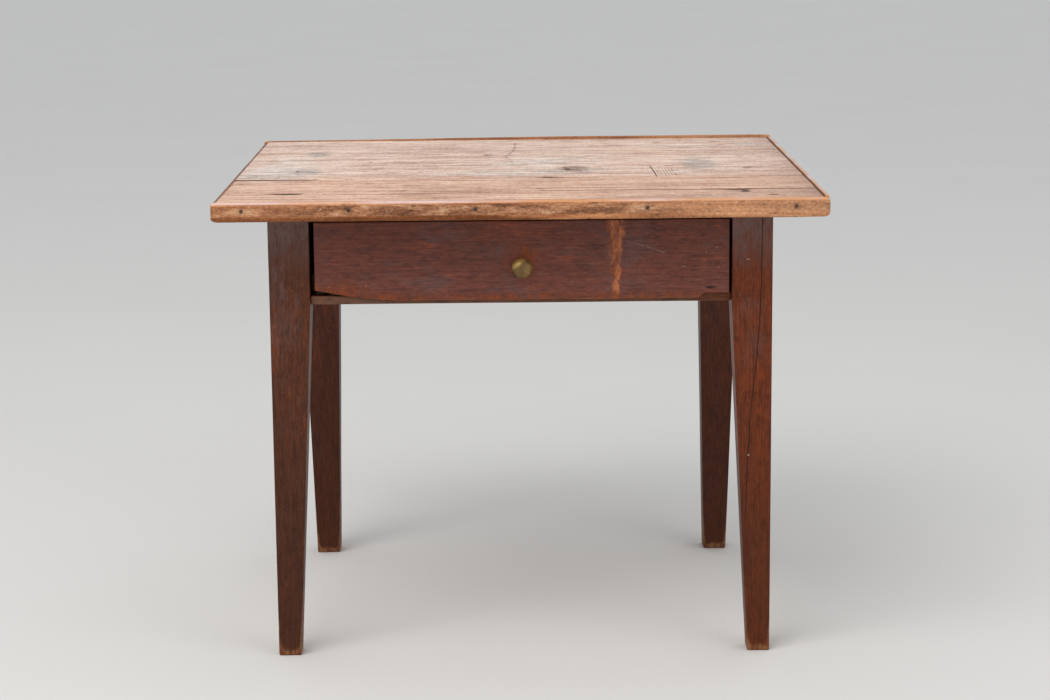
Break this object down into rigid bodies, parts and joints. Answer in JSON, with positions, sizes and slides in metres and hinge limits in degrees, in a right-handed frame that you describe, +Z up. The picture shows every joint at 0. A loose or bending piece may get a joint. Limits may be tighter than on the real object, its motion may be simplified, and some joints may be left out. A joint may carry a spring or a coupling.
{
  "type": "side table with drawer",
  "caption": "Low farmhouse side table with a weathered plank top, nailed edge strips, dark tapered legs and a shallow drawer with a small brass knob.",
  "frame": {"origin": "on the floor, under the middle of the top", "axes": "+Z up, -Y the front that the drawer opens towards, +X to the right seen from the front"},
  "size_m": [0.7, 0.655, 0.5615],
  "materials": {
    "weathered_top_pine": "worn, scrubbed pine with grey patches",
    "lipping_pine": "waxed honey-brown pine, dirty in the middle",
    "dark_stained_wood": "dark red-brown stain, worn at the feet",
    "red_brown_stained_wood": "dark red-brown stain with worn streaks",
    "bare_wood": "unfinished, aged",
    "aged_brass": "tarnished, polished by hands",
    "dull_iron": "dull, slightly rusty"
  },
  "bodies": {
    "frame": {"top_board_1": "weathered_top_pine", "top_board_2": "weathered_top_pine", "top_board_3": "weathered_top_pine", "top_board_4": "weathered_top_pine", "top_board_5": "weathered_top_pine", "top_lipping_front": "lipping_pine", "top_lipping_back": "lipping_pine", "top_lipping_right": "lipping_pine", "top_lipping_left_front": "lipping_pine", "top_lipping_left_rear": "lipping_pine", "leg_front_left": "dark_stained_wood", "leg_front_right": "dark_stained_wood", "leg_rear_left": "dark_stained_wood", "leg_rear_right": "dark_stained_wood", "side_apron_left": "dark_stained_wood", "side_apron_right": "dark_stained_wood", "rear_apron": "dark_stained_wood", "front_rail_lower": "dark_stained_wood", "front_rail_upper": "bare_wood", "drawer_stops": "bare_wood", "glue_blocks": "bare_wood", "drawer_runner_left": "bare_wood", "drawer_runner_right": "bare_wood", "drawer_guide_left": "bare_wood", "drawer_guide_right": "bare_wood", "drawer_kicker_left": "bare_wood", "drawer_kicker_right": "bare_wood", "joint_pegs": "dark_stained_wood", "top_screws": "dull_iron", "lipping_nails_front": "dull_iron", "lipping_nails_back": "dull_iron", "lipping_nails_sides": "dull_iron", "runner_nails": "dull_iron"},
    "drawer": {"drawer_front": "red_brown_stained_wood", "drawer_side_left": "bare_wood", "drawer_side_right": "bare_wood", "drawer_back": "bare_wood", "drawer_bottom_front": "bare_wood", "drawer_bottom_rear": "bare_wood", "drawer_nails": "dull_iron", "knob_stud": "dull_iron", "knob_washer": "dull_iron", "knob_nut": "dull_iron", "knob": "aged_brass"}
  },
  "joints": [
    {"name": "drawer_slide", "type": "slide", "parent": "frame", "child": "drawer", "axis": [0, -1, 0], "range_m": [0, 0.34]}
  ]
}
